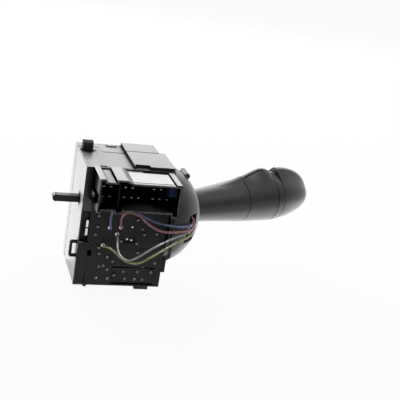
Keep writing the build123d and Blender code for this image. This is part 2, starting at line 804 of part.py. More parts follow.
def detent_ball(station, side):
    """A steel ball in the band's pocket."""
    return on_lever(station, side) * Sphere(ball_radius)


def ball_spring(start, end, side):
    """The spring behind a detent ball."""
    return on_lever(0, side) * coil(start, end, 1.05, 0.3, 3)


def terminal_block():
    """The block on the neck that takes the wires' ends."""
    block = span(18.0, 25.0, pivot_y - 12.2, pivot_y + 4, -2.5, 8.5)
    return block - lever_rod(5, 35, neck_radius + seat_fit)


def wire_clip():
    """The white clip under the terminal block."""
    clip = span(20.5, 24.5, pivot_y - 14.7, pivot_y - 7.6, -7.0, -2.5)
    return clip - span(21.5, 23.5, pivot_y - 16, pivot_y - 9, -6.0, -4.2)


# ---- cancelling finger ----
def finger_place():
    """The finger's pivot: X, Y and Z."""
    return left + finger_pivot_depth, rear + finger_from_rear, bottom + finger_rise


def cancel_finger():
    """The finger that the steering wheel's cam pushes aside to cancel the indicator."""
    x, y, z = finger_place()
    y0, y1 = y - finger_width / 2, y + finger_width / 2
    half = finger_height / 2
    tip = left - finger_length
    bar = span(tip + half, x, y0, y1, z - half, z + half)
    bar += rod_y(y0, y1, tip + half + 0.15, z, half + 0.15)
    bar += rod_y(y0, y1, x, z, finger_barrel)
    bar += span(x, x + 6.5, y0, y1, z - 1.2, z + 1.2)
    return bar - rod_y(y0 - 1, y1 + 1, x, z, finger_pin_radius + running_fit)


def finger_ears():
    """The two ears of the bracket: start and end along Y."""
    y = finger_place()[1]
    return [(y - 3.7, y - 2.3), (y + 4.2, y + 5.4)]


def finger_bracket():
    """Ears and web that hold the finger's pin on the left wall."""
    x, _, z = finger_place()
    ears = finger_ears()
    bracket = span(left + wall, left + wall + 1.2, ears[0][0], ears[1][1], z - 5.4, z - 3.7)
    for start, end in ears:
        bracket += span(left + wall, x + 2.8, start, end, z - 5.4, z + 3.2)
    return bracket - rod_y(ears[0][0] - 1, ears[1][1] + 1, x, z, finger_pin_radius + seat_fit)


def finger_pin():
    """The finger's pivot pin."""
    x, _, z = finger_place()
    ears = finger_ears()
    return rod_y(ears[0][0], ears[1][1], x, z, finger_pin_radius)


def finger_spring():
    """The torsion coil that centres the finger."""
    x, y, z = finger_place()
    return Pos(x, y, z) * Rot(-90, 0, 0) * coil(2.35, 4.1, 1.5, 0.35, 3)


# ---- jumper wires, from their solder joints into the shroud; Y is from the contact plate's face ----
solder_face = -0.9
block_face = pivot_from_rear - 12.2
wire_routes = {
    "wire_blue": [
        (-26.0, solder_face, -2.7),
        (-26.0, -3.6, -2.7),
        (-27.3, -5.8, 1.3),
        (-27.6, -6.4, 6.5),
        (-26.8, -6.6, 10.6),
        (-22.1, -7.2, 12.0),
        (-15.3, -8.0, 11.3),
        (-8.7, -8.8, 8.0),
        (-2.2, -9.4, 5.4),
        (4.7, -9.9, 4.1),
        (11.6, -9.2, 3.1),
        (17.5, -7.0, 2.8),
        (21.1, -3.2, 2.4),
        (23.0, 1.2, 3.4),
        (23.2, 5.4, 4.6),
        (23.2, block_face, 4.6),
    ],
    "wire_red": [
        (-19.6, solder_face, -2.4),
        (-19.6, -3.6, -2.4),
        (-21.8, -7.8, 2.1),
        (-23.1, -12.8, 9.4),
        (-20.7, -16.4, 13.7),
        (-14.1, -17.4, 12.2),
        (-8.3, -16.8, 6.6),
        (-0.4, -15.2, 2.1),
        (8.4, -12.5, 0.8),
        (15.3, -9.8, 0.7),
        (20.3, -7.0, 1.0),
        (22.8, -4.2, 3.5),
        (21.8, 1.4, 6.2),
        (20.9, 5.4, 7.0),
        (20.9, block_face, 7.0),
    ],
    "wire_grey": [
        (-21.4, solder_face, -6.5),
        (-21.4, -3.6, -6.5),
        (-21.9, -7.0, -11.3),
        (-20.9, -11.0, -15.2),
        (-16.4, -13.2, -17.7),
        (-11.3, -14.4, -14.9),
        (-4.0, -14.5, -8.9),
        (4.5, -13.0, -4.5),
        (12.2, -10.6, -1.9),
        (18.0, -7.2, -1.2),
        (22.0, -2.6, -0.8),
        (22.0, 2.0, 0.4),
        (21.0, 5.6, 1.6),
        (21.0, block_face, 1.6),
    ],
    "wire_yellow": [
        (-28.7, solder_face, -13.7),
        (-28.7, -3.4, -13.7),
        (-27.1, -6.8, -11.9),
        (-22.8, -8.0, -14.4),
        (-17.5, -10.2, -18.9),
        (-10.7, -15.2, -18.6),
        (-4.1, -16.6, -13.1),
        (4.3, -15.2, -8.0),
        (11.4, -12.2, -4.8),
        (18.0, -8.6, -3.4),
        (22.4, -3.8, -2.9),
        (24.0, 1.4, -1.8),
        (23.8, 5.6, -0.8),
        (23.8, block_face, -0.8),
    ],
}


def wire_path(name):
    """Straight runs joined by arcs as large as the runs allow."""
    points = [Vector(x, rear + y, z) for x, y, z in wire_routes[name]]
    runs = [b - a for a, b in zip(points, points[1:])]
    radii = []
    for before, after in zip(runs, runs[1:]):
        half_turn = math.radians(before.get_angle(after)) / 2
        radii.append(0.45 * min(before.length, after.length) / math.tan(half_turn))
    print(name, "bend radii", [round(radius, 1) for radius in radii])
    return FilletPolyline(*points, radius=radii)


def wire(name):
    """One insulated jumper wire."""
    path = wire_path(name)
    tube = sweep(Plane(origin=path @ 0, z_dir=path % 0) * Circle(wire_diameter / 2), path=path)
    print(name, "length", round(path.length, 1), "volume share",
          round(tube.volume / (path.length * math.pi * wire_diameter**2 / 4), 3))
    return tube


# ---- the assembly ----
ring_start = ring_end + joint_gap
write("rear_housing", rear_housing())
write("front_housing", front_housing())
write("shroud_collar", shroud_collar())
write("contact_plate", contact_plate())
write("connector_shroud", connector_shroud())
upper_places, lower_places = pin_places()
write("upper_pins", *pin_row(upper_places))
write("lower_pins", *pin_row(lower_places))
write("connector_keeper", connector_keeper())
write("socket_label", socket_label())
write("side_blades", *side_blades())
write("blade_cover", blade_cover())
write("heat_stakes", *heat_stakes())
write("solder_joints", *solder_joints())
write("carrier_bushes", *carrier_bushes())
write("detent_cam", detent_cam())
write("contact_strips", *contact_strips())
write("finger_bracket", finger_bracket())
write("finger_pin", finger_pin())
write("finger_spring", finger_spring())
write("cancel_finger", cancel_finger())
write("turn_carrier", turn_carrier())
write("pull_pin", pull_pin())
write("turn_plunger", plunger(turn_tip, turn_tail, turn_plunger_radius))
write("turn_spring", spring_x(turn_tail, tower_left + 1.4, 1.2, 0.35, 5))
write("contact_slider", contact_slider())
write("slider_contacts", *slider_contacts())
write("dome_shroud", dome_shroud())
write("lever_arm", lever_arm())
write("beam_plunger", plunger(beam_tip, beam_tail, beam_plunger_radius))
write("beam_spring", spring_x(beam_tail, -6.0, 1.05, 0.3, 6))
write("terminal_block", terminal_block())
write("wire_clip", wire_clip())
write("core_tube", core_tube())
write("retaining_clip", retaining_clip())
write("fog_ring", fog_ring())
write("ring_wiper", wiper(ring_start - 0.6, ring_start - 0.35))
write("index_band", index_band())
write("ring_board", stalk_board(ring_start))
write("knob_board", stalk_board(band_end - board_thickness))
write("ring_ball", detent_ball(ring_start - ball_show + ball_radius, -ball_circle))
write("knob_ball", detent_ball(band_end + ball_show - ball_radius, ball_circle))
ring_ball_back = ring_start - ball_show + 2 * ball_radius
write("ring_ball_spring", ball_spring(ring_ball_back, ring_start + 4.4, -ball_circle))
write("knob_ball_spring", ball_spring(band_end - 4.4, band_end + ball_show - 2 * ball_radius, ball_circle))
write("light_knob", light_knob())
write("knob_wiper", wiper(band_end + 0.35, band_end + 0.6))
for wire_name in wire_routes:
    write(wire_name, wire(wire_name))
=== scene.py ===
# Looks of the combination stalk switch: finishes, jumper wires, light and camera.
import math

import bmesh
import bpy
from mathutils import Matrix, Vector


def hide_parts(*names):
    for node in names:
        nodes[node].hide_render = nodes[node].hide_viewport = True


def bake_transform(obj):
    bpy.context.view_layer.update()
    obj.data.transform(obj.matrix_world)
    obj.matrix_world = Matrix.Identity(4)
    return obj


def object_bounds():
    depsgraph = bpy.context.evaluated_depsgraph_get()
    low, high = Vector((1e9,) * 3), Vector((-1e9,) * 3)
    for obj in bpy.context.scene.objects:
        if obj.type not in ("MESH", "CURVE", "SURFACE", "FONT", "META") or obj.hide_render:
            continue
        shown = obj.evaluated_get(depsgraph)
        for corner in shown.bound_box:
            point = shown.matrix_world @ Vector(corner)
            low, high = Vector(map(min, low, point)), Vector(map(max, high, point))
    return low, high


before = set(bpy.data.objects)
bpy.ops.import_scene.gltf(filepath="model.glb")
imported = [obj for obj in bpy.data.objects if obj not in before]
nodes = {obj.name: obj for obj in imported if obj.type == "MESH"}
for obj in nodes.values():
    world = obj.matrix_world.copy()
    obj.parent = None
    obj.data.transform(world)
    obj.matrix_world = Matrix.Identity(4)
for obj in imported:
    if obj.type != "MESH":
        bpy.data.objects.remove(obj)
cad_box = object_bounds()
MM = 0.001

# ---- driving values: camera, in millimetres and degrees of the row frame ----
CAMERA_AIM = Vector((24.7, -46.0, 17.1))
CAMERA_DISTANCE = 521.5
CAMERA_AZIMUTH = -18.47
CAMERA_ELEVATION = 18.8
CAMERA_ROLL = 9.62
CAMERA_LENS = 80.85
SENSOR_WIDTH = 36

# ---- driving values: light, as the brightness of each lamp's face ----
WORLD_STRENGTH = 0.7
FRONT_SHADE = 0.3
REAR_LIGHT = 2.3
LEFT_LIGHT = 4.2
KEY_LIGHT = 1.2
SPARK_LIGHT = 800
UNDER_LIGHT = 2.05
BACK_FLOOR_LIGHT = 2.3
FLOOR_DROP = 1.5
FLOOR_HALF = 3.0
FLOOR_GLOW = 0.93

# ---- driving values: places on the object, in millimetres of the row frame ----
PLATE_FACE = -46.0
MOUTH = -68.8
PIN_TIP = -57.5
LEFT_FACE = -43.4
TOP_FACE = 32.7
LUG_SIDE = -33.5
SEAM_STEP = -30.55
SEAM_LEFT = -7.8
SEAM_RIGHT = -16.3

# ---- driving values: springs, each with the body that holds it and the body that it pushes ----
SPRING_ENDS = {
    "turn_spring": ("turn_carrier", "turn_plunger"),
    "beam_spring": ("lever", "beam_plunger"),
    "ring_ball_spring": ("lever", "ring_ball"),
    "knob_ball_spring": ("lever", "knob_ball"),
}

# ---- driving values: jumper wires, in millimetres; Y is from the contact plate's face ----
WIRE_DIAMETER = 1.3
WIRE_SIDES = 14
WIRE_SPLIT_X = 3.0
SOLDER_FACE = -0.9
BLOCK_FACE = 9.0
WIRE_ROUTES = {
    "blue": [
        (-26.0, SOLDER_FACE, -2.7),
        (-26.0, -3.6, -2.7),
        (-27.3, -5.8, 1.3),
        (-27.6, -6.4, 6.5),
        (-26.8, -6.6, 10.6),
        (-22.1, -7.2, 12.0),
        (-15.3, -8.0, 11.3),
        (-8.7, -8.8, 8.0),
        (-2.2, -9.4, 5.4),
        (4.7, -9.9, 4.1),
        (11.6, -9.2, 3.1),
        (17.5, -7.0, 2.8),
        (21.1, -3.2, 2.4),
        (23.0, 1.2, 3.4),
        (23.2, 5.4, 4.6),
        (23.2, BLOCK_FACE, 4.6),
    ],
    "red": [
        (-19.6, SOLDER_FACE, -2.4),
        (-19.6, -3.6, -2.4),
        (-21.8, -7.8, 2.1),
        (-23.1, -12.8, 9.4),
        (-20.7, -16.4, 13.7),
        (-14.1, -17.4, 12.2),
        (-8.3, -16.8, 6.6),
        (-0.4, -15.2, 2.1),
        (8.4, -12.5, 0.8),
        (15.3, -9.8, 0.7),
        (20.3, -7.0, 1.0),
        (22.8, -4.2, 3.5),
        (21.8, 1.4, 6.2),
        (20.9, 5.4, 7.0),
        (20.9, BLOCK_FACE, 7.0),
    ],
    "grey": [
        (-21.4, SOLDER_FACE, -6.5),
        (-21.4, -3.6, -6.5),
        (-21.9, -7.0, -11.3),
        (-20.9, -11.0, -15.2),
        (-16.4, -13.2, -17.7),
        (-11.3, -14.4, -14.9),
        (-4.0, -14.5, -8.9),
        (4.5, -13.0, -4.5),
        (12.2, -10.6, -1.9),
        (18.0, -7.2, -1.2),
        (22.0, -2.6, -0.8),
        (22.0, 2.0, 0.4),
        (21.0, 5.6, 1.6),
        (21.0, BLOCK_FACE, 1.6),
    ],
    "yellow": [
        (-28.7, SOLDER_FACE, -13.7),
        (-28.7, -3.4, -13.7),
        (-27.1, -6.8, -11.9),
        (-22.8, -8.0, -14.4),
        (-17.5, -10.2, -18.9),
        (-10.7, -15.2, -18.6),
        (-4.1, -16.6, -13.1),
        (4.3, -15.2, -8.0),
        (11.4, -12.2, -4.8),
        (18.0, -8.6, -3.4),
        (22.4, -3.8, -2.9),
        (24.0, 1.4, -1.8),
        (23.8, 5.6, -0.8),
        (23.8, BLOCK_FACE, -0.8),
    ],
}


# ---- camera ----
def make_camera():
    """The camera at the photograph's angle, rolled about its own view line."""
    azimuth = math.radians(CAMERA_AZIMUTH)
    elevation = math.radians(CAMERA_ELEVATION)
    roll = math.radians(CAMERA_ROLL)
    back = Vector((
        math.sin(azimuth) * math.cos(elevation),
        -math.cos(azimuth) * math.cos(elevation),
        math.sin(elevation),
    ))
    level = Vector((math.cos(azimuth), math.sin(azimuth), 0))
    upright = back.cross(level)
    right = level * math.cos(roll) + upright * math.sin(roll)
    up = upright * math.cos(roll) - level * math.sin(roll)
    place = (CAMERA_AIM + back * CAMERA_DISTANCE) * MM
    data = bpy.data.cameras.new("camera")
    data.lens = CAMERA_LENS
    data.sensor_width = SENSOR_WIDTH
    data.clip_start = 0.01
    camera = bpy.data.objects.new("camera", data)
    turn = Matrix((right, up, back)).transposed().to_4x4()
    camera.matrix_world = Matrix.Translation(place) @ turn
    bpy.context.scene.collection.objects.link(camera)
    bpy.context.scene.camera = camera


# ---- material helpers ----
def new_material(name):
    """An empty node material with its Principled shader."""
    material = bpy.data.materials.new(name)
    material.use_nodes = True
    tree = material.node_tree
    shader = tree.nodes["Principled BSDF"]
    return material, tree, shader


def object_coordinates(tree, scale):
    """Texture coordinates in the row frame, scaled."""
    coordinates = tree.nodes.new("ShaderNodeTexCoord")
    mapping = tree.nodes.new("ShaderNodeMapping")
    mapping.inputs["Scale"].default_value = scale
    tree.links.new(coordinates.outputs["Object"], mapping.inputs["Vector"])
    return mapping.outputs["Vector"]


def noise(tree, scale, detail=4.0, roughness=0.55, stretch=(1, 1, 1)):
    """A noise pattern; scale is in cycles per metre."""
    texture = tree.nodes.new("ShaderNodeTexNoise")
    texture.inputs["Scale"].default_value = scale
    texture.inputs["Detail"].default_value = detail
    texture.inputs["Roughness"].default_value = roughness
    tree.links.new(object_coordinates(tree, stretch), texture.inputs["Vector"])
    return texture.outputs["Fac"]


def ramp(tree, value, low, high, start, end):
    """Maps value from low..high to start..end, clamped."""
    node = tree.nodes.new("ShaderNodeMapRange")
    node.inputs["From Min"].default_value = low
    node.inputs["From Max"].default_value = high
    node.inputs["To Min"].default_value = start
    node.inputs["To Max"].default_value = end
    tree.links.new(value, node.inputs["Value"])
    return node.outputs["Result"]


def mix_colour(tree, factor, first, second):
    """A colour between two: each is a colour or a socket."""
    node = tree.nodes.new("ShaderNodeMix")
    node.data_type = "RGBA"
    tree.links.new(factor, node.inputs["Factor"])
    for socket, colour in ((node.inputs["A"], first), (node.inputs["B"], second)):
        if isinstance(colour, bpy.types.NodeSocket):
            tree.links.new(colour, socket)
        else:
            socket.default_value = (*colour, 1)
    return node.outputs["Result"]


def rounded_normal(tree, radius):
    """The surface normal with its edges rounded over a small radius."""
    node = tree.nodes.new("ShaderNodeBevel")
    node.samples = 6
    node.inputs["Radius"].default_value = radius * MM
    return node.outputs["Normal"]


def edge_mask(tree, radius):
    """1 on the object's edges and 0 on flat stretches."""
    geometry = tree.nodes.new("ShaderNodeNewGeometry")
    dot = tree.nodes.new("ShaderNodeVectorMath")
    dot.operation = "DOT_PRODUCT"
    tree.links.new(rounded_normal(tree, radius), dot.inputs[0])
    tree.links.new(geometry.outputs["Normal"], dot.inputs[1])
    return ramp(tree, dot.outputs["Value"], 0.98, 0.82, 0.0, 1.0)


def openness(tree, reach, low, high):
    """0 in recesses deeper than they are wide, 1 on open surfaces."""
    node = tree.nodes.new("ShaderNodeAmbientOcclusion")
    node.samples = 8
    node.inputs["Distance"].default_value = reach * MM
    return ramp(tree, node.outputs["AO"], low, high, 0.0, 1.0)


def upward(tree, least):
    """1 on surfaces that face up and the least value on the others, used to paint the top faces lighter
    than the sides.
    """
    geometry = tree.nodes.new("ShaderNodeNewGeometry")
    parts = tree.nodes.new("ShaderNodeSeparateXYZ")
    tree.links.new(geometry.outputs["Normal"], parts.inputs[0])
    return ramp(tree, parts.outputs["Z"], 0.1, 0.8, least, 1.0)


def combine(tree, operation, first, second=0.0):
    """One arithmetic operation; each value is a number or a socket."""
    node = tree.nodes.new("ShaderNodeMath")
    node.operation = operation
    for socket, value in zip(node.inputs, (first, second)):
        if isinstance(value, bpy.types.NodeSocket):
            tree.links.new(value, socket)
        else:
            socket.default_value = value
    return node.outputs[0]


def times(tree, first, second):
    """The product of two values."""
    return combine(tree, "MULTIPLY", first, second)


def surface_place(tree):
    """X, Y and Z of the surface point in the row frame, in metres."""
    place = tree.nodes.new("ShaderNodeSeparateXYZ")
    tree.links.new(object_coordinates(tree, (1, 1, 1)), place.inputs[0])
    return place.outputs


def base_colour(shader):
    """The socket that feeds the shader's base colour."""
    return shader.inputs["Base Color"].links[0].from_socket


def bump(tree, height, strength, distance, normal=None):
    """Surface relief from a height pattern."""
    node = tree.nodes.new("ShaderNodeBump")
    node.inputs["Strength"].default_value = strength
    node.inputs["Distance"].default_value = distance * MM
    tree.links.new(height, node.inputs["Height"])
    if normal is not None:
        tree.links.new(normal, node.inputs["Normal"])
    return node.outputs["Normal"]


def plastic(name, dark, light, worn, rough, grain, relief, coat=0.0, coat_index=1.5, sheen=0.0,
            specular=0.5, edge=0.25, soft=0.35, gloss=None, shade_reach=None, painted_top_light=False):
    """Moulded plastic: cloudy colour, spark grain, uneven gloss and paler edges; where asked, painted
    shade in recesses and painted lighter tops.
    """
    material, tree, shader = new_material(name)
    clouds = noise(tree, 60, 5)
    cloudy = mix_colour(tree, ramp(tree, clouds, 0.35, 0.68, 0, 1), dark, light)
    scuffs = noise(tree, 900, 6, 0.7, (1, 0.25, 1))
    mask = times(tree, edge_mask(tree, edge), ramp(tree, scuffs, 0.35, 0.75, 0.15, 1))
    tree.links.new(mix_colour(tree, mask, cloudy, worn), shader.inputs["Base Color"])
    fine = noise(tree, grain, 3, 0.6)
    uneven = ramp(tree, noise(tree, 240, 5), 0.3, 0.7, rough - 0.05, rough + 0.07)
    tree.links.new(uneven, shader.inputs["Roughness"])
    tree.links.new(bump(tree, fine, relief, 0.06, rounded_normal(tree, edge)), shader.inputs["Normal"])
    shader.inputs["Specular IOR Level"].default_value = specular
    shader.inputs["Coat Weight"].default_value = coat
    shader.inputs["Coat IOR"].default_value = coat_index
    shader.inputs["Coat Roughness"].default_value = gloss or rough
    shader.inputs["Sheen Weight"].default_value = sheen
    # Painted shade: coat and sheen fade out in recesses. Painted light: with the top option, top faces
    # keep more coat and sheen than the sides.
    if shade_reach:
        shine = openness(tree, shade_reach, 0.65, 0.95)
        top_sheen = times(tree, shine, upward(tree, 0.0)) if painted_top_light else shine
        lustre = times(tree, shine, upward(tree, 0.25)) if painted_top_light else shine
        tree.links.new(times(tree, lustre, coat), shader.inputs["Coat Weight"])
        tree.links.new(times(tree, top_sheen, sheen), shader.inputs["Sheen Weight"])
    shader.inputs["Sheen Roughness"].default_value = soft
    return material


def pale_rim(material):
    """Paints the front face of the connector's mouth a paler grey in uneven patches."""
    tree = material.node_tree
    shader = tree.nodes["Principled BSDF"]
    depth = surface_place(tree)["Y"]
    rim = ramp(tree, depth, (MOUTH + 0.3) * MM, (MOUTH + 0.1) * MM, 0, 1)
    pale_patches = times(tree, rim, ramp(tree, noise(tree, 260, 5), 0.35, 0.65, 0.35, 1))
    paler_rim = mix_colour(tree, pale_patches, base_colour(shader), (0.13, 0.13, 0.13))
    tree.links.new(paler_rim, shader.inputs["Base Color"])


def painted_shade_marks(material):
    """Painted shade: less coat and sheen along the housing's parting seam, its edges, its lug and its clip
    loop.
    """
    tree = material.node_tree
    shader = tree.nodes["Principled BSDF"]
    x, y, z = surface_place(tree)
    seam = ramp(tree, x, (SEAM_STEP - 0.55) * MM, (SEAM_STEP + 0.55) * MM, SEAM_LEFT * MM, SEAM_RIGHT * MM)
    away = combine(tree, "ABSOLUTE", combine(tree, "SUBTRACT", y, seam))
    groove = ramp(tree, away, 0.3 * MM, 0.9 * MM, 0.15, 1)
    edges = ramp(tree, edge_mask(tree, 0.7), 0, 1, 1, 0.5)
    above = ramp(tree, z, (TOP_FACE + 0.2) * MM, (TOP_FACE + 0.4) * MM, 0, 1)
    leftward = ramp(tree, x, (LUG_SIDE - 0.5) * MM, (LUG_SIDE + 0.5) * MM, 1, 0)
    lug = ramp(tree, times(tree, above, leftward), 0, 1, 1, 0.12)
    loop = ramp(tree, x, (LEFT_FACE - 0.3) * MM, (LEFT_FACE - 0.1) * MM, 0.12, 1)
    unshaded = times(tree, times(tree, times(tree, groove, edges), lug), loop)
    for name in ("Coat Weight", "Sheen Weight"):
        plain = shader.inputs[name].links[0].from_socket
        tree.links.new(times(tree, unshaded, plain), shader.inputs[name])


def painted_shade_corners(material):
    """Painted shade round the posts and in the slots of the contact plate."""
    tree = material.node_tree
    shader = tree.nodes["Principled BSDF"]
    unshaded = openness(tree, 1.6, 0.6, 0.97)
    shaded_base = mix_colour(tree, unshaded, (0.001, 0.001, 0.001), base_colour(shader))
    tree.links.new(shaded_base, shader.inputs["Base Color"])


def painted_shade_shanks(material):
    """Painted shade on the pins behind their tips, which sit deep in the socket; only the tips keep their
    own colour.
    """
    tree = material.node_tree
    shader = tree.nodes["Principled BSDF"]
    depth = surface_place(tree)["Y"]
    shank_shade = ramp(tree, depth, (PIN_TIP + 0.7) * MM, (PIN_TIP + 1.3) * MM, 0, 1)
    shaded_pins = mix_colour(tree, shank_shade, base_colour(shader), (0.02, 0.02, 0.02))
    tree.links.new(shaded_pins, shader.inputs["Base Color"])


def metal(name, dark, light, rough, grain, relief, stretch=(1, 1, 1)):
    """Bare or tinned metal with fine unevenness and dull spots."""
    material, tree, shader = new_material(name)
    spots = noise(tree, 700, 5)
    tone = ramp(tree, spots, 0.35, 0.65, 0, 1)
    tree.links.new(mix_colour(tree, tone, dark, light), shader.inputs["Base Color"])
    shader.inputs["Metallic"].default_value = 1.0
    fine = noise(tree, grain, 4, 0.6, stretch)
    tree.links.new(ramp(tree, spots, 0.3, 0.7, rough, rough + 0.15), shader.inputs["Roughness"])
    tree.links.new(bump(tree, fine, relief, 0.05, rounded_normal(tree, 0.1)), shader.inputs["Normal"])
    return material


def insulation(name, dark, light):
    """Soft wire insulation, a little paler where it is stretched and dull with handling."""
    material, tree, shader = new_material(name)
    tone = ramp(tree, noise(tree, 380, 5), 0.35, 0.65, 0, 1)
    tree.links.new(mix_colour(tree, tone, dark, light), shader.inputs["Base Color"])
    tree.links.new(ramp(tree, noise(tree, 1600, 4), 0.3, 0.7, 0.3, 0.45), shader.inputs["Roughness"])
    tree.links.new(bump(tree, noise(tree, 2400, 3), 0.25, 0.05), shader.inputs["Normal"])
    shader.inputs["Specular IOR Level"].default_value = 0.25
    shader.inputs["Coat Weight"].default_value = 0.1
    shader.inputs["Coat Roughness"].default_value = 0.25
    return material


def paper(name):
    """Label stock with faint fibres, slightly yellowed at its edges."""
    material, tree, shader = new_material(name)
    fibres = noise(tree, 3000, 5, 0.7, (1, 3, 1))
    tone = mix_colour(tree, ramp(tree, fibres, 0.3, 0.7, 0, 1), (0.66, 0.66, 0.65), (0.78, 0.78, 0.77))
    worn = mix_colour(tree, edge_mask(tree, 0.4), tone, (0.5, 0.48, 0.44))
    tree.links.new(worn, shader.inputs["Base Color"])
    tree.links.new(ramp(tree, noise(tree, 500), 0.3, 0.7, 0.4, 0.55), shader.inputs["Roughness"])
    tree.links.new(bump(tree, fibres, 0.15, 0.02), shader.inputs["Normal"])
    return material


def board(name):
    """Phenolic board with copper rings under a dull varnish."""
    material, tree, shader = new_material(name)
    tone = ramp(tree, noise(tree, 500, 6, 0.6, (1, 4, 1)), 0.35, 0.65, 0, 1)
    brown = mix_colour(tree, tone, (0.16, 0.08, 0.035), (0.26, 0.15, 0.07))
    tree.links.new(brown, shader.inputs["Base Color"])
    tree.links.new(ramp(tree, noise(tree, 900), 0.3, 0.7, 0.35, 0.55), shader.inputs["Roughness"])
    tree.links.new(bump(tree, noise(tree, 3000), 0.2, 0.03), shader.inputs["Normal"])
    return material


# ---- finishes of the CAD nodes ----
def make_finishes():
    """One material for each kind of surface, and the nodes that have it."""
    # The housing gets painted shade in its recesses.
    housing = plastic(
        "housing_plastic", (0.018, 0.018, 0.020), (0.030, 0.030, 0.032), (0.06, 0.06, 0.06),
        rough=0.36, grain=5200, relief=0.22, coat=1.0, sheen=1.0, specular=0.0, soft=0.35, shade_reach=5,
    )
    painted_shade_marks(housing)
    plate = plastic(
        "plate_plastic", (0.007, 0.0069, 0.0067), (0.014, 0.0137, 0.0134), (0.07, 0.07, 0.07),
        rough=0.42, grain=4200, relief=0.25, specular=0.22, edge=0.18,
    )
    painted_shade_corners(plate)
    stake = plastic(
        "stake_plastic", (0.004, 0.0039, 0.0038), (0.010, 0.0097, 0.0094), (0.03, 0.03, 0.03),
        rough=0.20, grain=3800, relief=0.12, coat=1.0, coat_index=1.9, specular=0.05, edge=0.1, gloss=0.10,
    )
    # The connector gets painted shade inside the socket, and painted light that makes its top faces
    # lighter than its sides.
    socket = plastic(
        "connector_plastic", (0.0007, 0.0007, 0.0008), (0.0014, 0.0014, 0.0015), (0.03, 0.03, 0.03),
        rough=0.3, grain=5200, relief=0.12, coat=1.0, sheen=1.0, specular=0.0, edge=0.16, soft=0.3,
        gloss=0.16, shade_reach=14, painted_top_light=True,
    )
    pale_rim(socket)
    shroud = plastic(
        "shroud_plastic", (0.003, 0.003, 0.0032), (0.006, 0.006, 0.0062), (0.05, 0.05, 0.05),
        rough=0.38, grain=5200, relief=0.2, coat=0.7, sheen=0.8, specular=0.0, soft=0.4,
    )
    # The lever gets painted shade in the seams between its parts.
    lever = plastic(
        "lever_plastic", (0.006, 0.0061, 0.0061), (0.010, 0.0102, 0.0102), (0.012, 0.012, 0.012),
        rough=0.34, grain=6500, relief=0.28, coat=0.8, sheen=1.0, specular=0.0, edge=0.03, soft=0.40,
        shade_reach=1.2,
    )
    keeper = plastic(
        "keeper_plastic", (0.003, 0.009, 0.045), (0.006, 0.016, 0.075), (0.01, 0.03, 0.12),
        rough=0.4, grain=4000, relief=0.15, specular=0.1,
    )
    acetal = plastic(
        "acetal_plastic", (0.62, 0.60, 0.55), (0.74, 0.72, 0.68), (0.85, 0.84, 0.80),
        rough=0.3, grain=3500, relief=0.15,
    )
    nylon = plastic(
        "glass_filled_nylon", (0.10, 0.10, 0.105), (0.16, 0.16, 0.165), (0.3, 0.3, 0.3),
        rough=0.42, grain=3200, relief=0.3,
    )
    finger = plastic(
        "finger_plastic", (0.004, 0.004, 0.004), (0.008, 0.008, 0.008), (0.02, 0.02, 0.02),
        rough=0.32, grain=4200, relief=0.2, coat=0.2, specular=0.1,
    )
    pin = metal(
        "pin_metal", (0.50, 0.49, 0.46), (0.66, 0.65, 0.61),
        rough=0.3, grain=2600, relief=0.2,
    )
    painted_shade_shanks(pin)
    tinned = metal(
        "tinned_brass", (0.66, 0.65, 0.60), (0.82, 0.81, 0.77),
        rough=0.22, grain=2600, relief=0.2,
    )
    solder = metal(
        "solder_metal", (0.78, 0.79, 0.80), (0.95, 0.95, 0.96),
        rough=0.3, grain=700, relief=1.0,
    )
    steel = metal(
        "spring_steel", (0.38, 0.38, 0.39), (0.56, 0.56, 0.57),
        rough=0.28, grain=3200, relief=0.2, stretch=(1, 6, 1),
    )
    bronze = metal(
        "sintered_bronze", (0.36, 0.22, 0.10), (0.52, 0.34, 0.17),
        rough=0.42, grain=5200, relief=0.5,
    )
    finishes = {
        housing: ["rear_housing", "front_housing"],
        plate: ["contact_plate", "blade_cover"],
        stake: ["heat_stakes"],
        socket: ["connector_shroud", "terminal_block"],
        shroud: ["dome_shroud", "shroud_collar"],
        lever: ["lever_arm", "fog_ring", "index_band", "light_knob"],
        keeper: ["connector_keeper"],
        acetal: ["detent_cam", "contact_slider", "turn_plunger", "beam_plunger", "wire_clip"],
        nylon: ["turn_carrier", "finger_bracket"],
        finger: ["cancel_finger"],
        pin: ["upper_pins", "lower_pins"],
        tinned: ["side_blades", "contact_strips", "slider_contacts", "ring_wiper", "knob_wiper"],
        solder: ["solder_joints"],
        steel: ["pull_pin", "finger_pin", "finger_spring", "turn_spring", "beam_spring", "core_tube",
                "retaining_clip", "ring_ball", "knob_ball", "ring_ball_spring", "knob_ball_spring"],
        bronze: ["carrier_bushes"],
        paper("label_paper"): ["socket_label"],
        board("phenolic_board"): ["ring_board", "knob_board"],
    }
    for material, names in finishes.items():
        for name in names:
            nodes[name].data.materials.clear()
            nodes[name].data.materials.append(material)


# ---- jumper wires ----
def route_line(name, points):
    """Points along the wire's smooth line, read from its NURBS spline."""
    curve = bpy.data.curves.new(name, "CURVE")
    curve.dimensions = "3D"
    spline = curve.splines.new("NURBS")
    spline.points.add(len(points) - 1)
    for point, (x, y, z) in zip(spline.points, points):
        point.co = (x * MM, (PLATE_FACE + y) * MM, z * MM, 1)
    spline.order_u = 3
    spline.use_endpoint_u = True
    spline.resolution_u = 10
    holder = bpy.data.objects.new(name, curve)
    mesh = bpy.data.meshes.new_from_object(holder)
    line = [vertex.co.copy() for vertex in mesh.vertices]
    bpy.data.meshes.remove(mesh)
    bpy.data.objects.remove(holder)
    bpy.data.curves.remove(curve)
    return line


